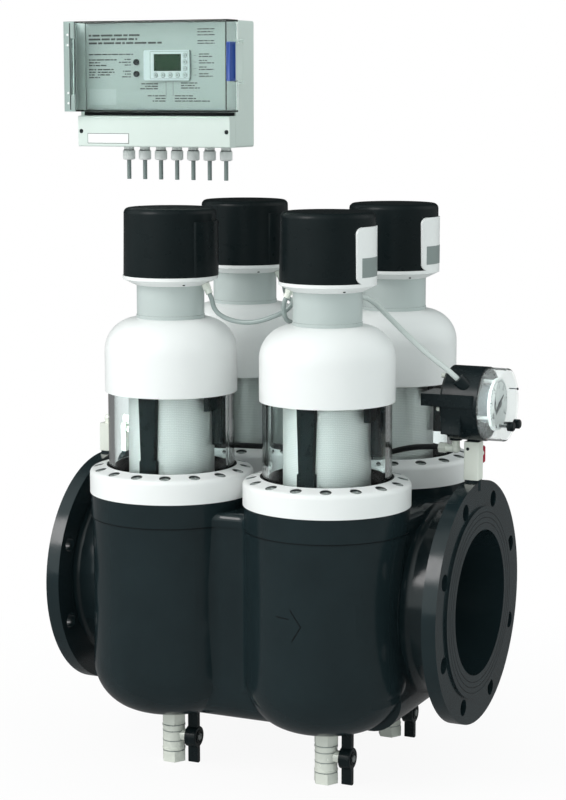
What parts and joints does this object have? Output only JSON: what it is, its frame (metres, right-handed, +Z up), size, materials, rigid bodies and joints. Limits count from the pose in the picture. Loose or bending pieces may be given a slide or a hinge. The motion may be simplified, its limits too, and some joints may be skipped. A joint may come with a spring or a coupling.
{
  "type": "self cleaning water filter",
  "caption": "Flanged pipe filter: a cast body with glass bowls, turning screens, motor heads and drain valves, a round gauge and a wall control box.",
  "frame": {"origin": "centre of the inlet flange's sealing face", "axes": "+X along the pipe from inlet to outlet, +Z up, +Y to the back"},
  "size_m": [0.6709, 0.468, 1.0483],
  "materials": {
    "coated_casting": "near black gloss coat on cast metal",
    "white_plastic": "smooth white moulding",
    "grey_neck": "light grey moulding",
    "clear_glass": "clear cylinder",
    "gauge_clear": "clear window",
    "smoky_clear": "lightly tinted clear cover",
    "black_rubber": "matt",
    "black_plastic": "fine grain moulding",
    "sieve_steel": "woven steel screen",
    "shaft_steel": "turned steel",
    "nickel_brass": "nickel plated brass",
    "red_lever": "dipped red coat",
    "blue_latch": "blue moulding",
    "light_grey_box": "light grey moulding with a fine grain",
    "dial_white": "printed white dial",
    "pointer_black": "black pointer",
    "black_gloss": "smooth black moulding",
    "cable_grey": "grey sheath",
    "cable_pale": "pale grey sheath",
    "hose_black": "black pressure hose",
    "motor_grey": "grey gear housing"
  },
  "bodies": {
    "filter": {"housing": "coated_casting", "clamp_rings": "white_plastic", "glass_cylinders": "clear_glass", "glass_seals": "black_rubber", "bells": "white_plastic", "suction_tubes": "black_plastic", "necks": "grey_neck", "head_bases": "white_plastic", "head_caps": "black_gloss", "head_panels": "white_plastic", "gearmotors": "motor_grey", "head_glands": "nickel_brass", "drain_valve_bodies": "nickel_brass", "tap_bodies": "nickel_brass", "gauge_body": "black_plastic", "gauge_window": "gauge_clear", "gauge_dial": "dial_white", "hose_fittings": "nickel_brass", "hose": "hose_black", "front_cable": "cable_grey", "back_cable": "cable_grey", "cross_cable": "cable_grey", "gauge_cable": "cable_pale", "control_box": "light_grey_box", "terminal_cover": "light_grey_box", "display_and_lamps": "white_plastic", "control_glands": "white_plastic", "cable_ends": "cable_grey", "hinge_strip": "smoky_clear"},
    "screen_front_left": {"sieve_front_left": "sieve_steel", "drive_shaft_front_left": "shaft_steel"},
    "screen_front_right": {"sieve_front_right": "sieve_steel", "drive_shaft_front_right": "shaft_steel"},
    "screen_back_left": {"sieve_back_left": "sieve_steel", "drive_shaft_back_left": "shaft_steel"},
    "screen_back_right": {"sieve_back_right": "sieve_steel", "drive_shaft_back_right": "shaft_steel"},
    "drain_front_left": {"drain_ball_front_left": "nickel_brass", "drain_handle_front_left": "black_plastic"},
    "drain_front_right": {"drain_ball_front_right": "nickel_brass", "drain_handle_front_right": "black_plastic"},
    "drain_back_left": {"drain_ball_back_left": "nickel_brass", "drain_handle_back_left": "black_plastic"},
    "drain_back_right": {"drain_ball_back_right": "nickel_brass", "drain_handle_back_right": "black_plastic"},
    "inlet_tap_lever": {"inlet_tap_lever": "red_lever"},
    "outlet_tap_lever": {"outlet_tap_lever": "red_lever"},
    "gauge_pointer": {"gauge_pointer": "pointer_black"},
    "gauge_knob_1": {"gauge_knob_1": "black_plastic"},
    "gauge_knob_2": {"gauge_knob_2": "black_plastic"},
    "box_cover": {"box_cover": "smoky_clear"},
    "latch": {"latch": "blue_latch"},
    "button_1": {"button_1": "white_plastic"},
    "button_2": {"button_2": "white_plastic"},
    "button_3": {"button_3": "white_plastic"},
    "button_4": {"button_4": "white_plastic"},
    "button_5": {"button_5": "white_plastic"},
    "button_6": {"button_6": "white_plastic"},
    "button_7": {"button_7": "white_plastic"},
    "button_8": {"button_8": "white_plastic"}
  },
  "joints": [
    {"name": "screen_turn_front_left", "type": "hinge", "parent": "filter", "child": "screen_front_left", "pos_m": [0.181, -0.119, 0.137], "axis": [0, 0, 1], "continuous": true},
    {"name": "screen_turn_front_right", "type": "hinge", "parent": "filter", "child": "screen_front_right", "pos_m": [0.419, -0.119, 0.137], "axis": [0, 0, 1], "continuous": true},
    {"name": "screen_turn_back_left", "type": "hinge", "parent": "filter", "child": "screen_back_left", "pos_m": [0.181, 0.119, 0.137], "axis": [0, 0, 1], "continuous": true},
    {"name": "screen_turn_back_right", "type": "hinge", "parent": "filter", "child": "screen_back_right", "pos_m": [0.419, 0.119, 0.137], "axis": [0, 0, 1], "continuous": true},
    {"name": "drain_turn_front_left", "type": "hinge", "parent": "filter", "child": "drain_front_left", "pos_m": [0.181, -0.119, -0.209], "axis": [1, 0, 0], "range_deg": [0, 90]},
    {"name": "drain_turn_front_right", "type": "hinge", "parent": "filter", "child": "drain_front_right", "pos_m": [0.419, -0.119, -0.209], "axis": [1, 0, 0], "range_deg": [0, 90]},
    {"name": "drain_turn_back_left", "type": "hinge", "parent": "filter", "child": "drain_back_left", "pos_m": [0.181, 0.119, -0.209], "axis": [1, 0, 0], "range_deg": [0, 90]},
    {"name": "drain_turn_back_right", "type": "hinge", "parent": "filter", "child": "drain_back_right", "pos_m": [0.419, 0.119, -0.209], "axis": [1, 0, 0], "range_deg": [0, 90]},
    {"name": "inlet_tap_turn", "type": "hinge", "parent": "filter", "child": "inlet_tap_lever", "pos_m": [0.013, 0, 0.205], "axis": [1, 0, 0], "range_deg": [0, 90]},
    {"name": "outlet_tap_turn", "type": "hinge", "parent": "filter", "child": "outlet_tap_lever", "pos_m": [0.587, 0, 0.205], "axis": [0, 1, 0], "range_deg": [0, 90]},
    {"name": "pointer_turn", "type": "hinge", "parent": "filter", "child": "gauge_pointer", "pos_m": [0.618, 0, 0.279], "axis": [-1, 0, 0], "range_deg": [0, 240], "stiffness_Nm_per_rad": 0.002},
    {"name": "gauge_knob_1_turn", "type": "hinge", "parent": "filter", "child": "gauge_knob_1", "pos_m": [0.6346, 0.004, 0.249], "axis": [1, 0, 0], "range_deg": [0, 270]},
    {"name": "gauge_knob_2_turn", "type": "hinge", "parent": "filter", "child": "gauge_knob_2", "pos_m": [0.6346, 0.03, 0.249], "axis": [1, 0, 0], "range_deg": [0, 270]},
    {"name": "cover_hinge", "type": "hinge", "parent": "filter", "child": "box_cover", "pos_m": [-0.012, -0.045, 0.737], "axis": [0, 0, -1], "range_deg": [0, 90]},
    {"name": "latch_swing", "type": "hinge", "parent": "filter", "child": "latch", "pos_m": [0.2383, -0.005, 0.743], "axis": [0, 0, 1], "range_deg": [0, 60]},
    {"name": "button_press_1", "type": "slide", "parent": "filter", "child": "button_1", "axis": [0, 1, 0], "range_m": [0, 0.0012], "stiffness_N_per_m": 400},
    {"name": "button_press_2", "type": "slide", "parent": "filter", "child": "button_2", "axis": [0, 1, 0], "range_m": [0, 0.0012], "stiffness_N_per_m": 400},
    {"name": "button_press_3", "type": "slide", "parent": "filter", "child": "button_3", "axis": [0, 1, 0], "range_m": [0, 0.0012], "stiffness_N_per_m": 400},
    {"name": "button_press_4", "type": "slide", "parent": "filter", "child": "button_4", "axis": [0, 1, 0], "range_m": [0, 0.0012], "stiffness_N_per_m": 400},
    {"name": "button_press_5", "type": "slide", "parent": "filter", "child": "button_5", "axis": [0, 1, 0], "range_m": [0, 0.0012], "stiffness_N_per_m": 400},
    {"name": "button_press_6", "type": "slide", "parent": "filter", "child": "button_6", "axis": [0, 1, 0], "range_m": [0, 0.0012], "stiffness_N_per_m": 400},
    {"name": "button_press_7", "type": "slide", "parent": "filter", "child": "button_7", "axis": [0, 1, 0], "range_m": [0, 0.0012], "stiffness_N_per_m": 400},
    {"name": "button_press_8", "type": "slide", "parent": "filter", "child": "button_8", "axis": [0, 1, 0], "range_m": [0, 0.0012], "stiffness_N_per_m": 400}
  ]
}
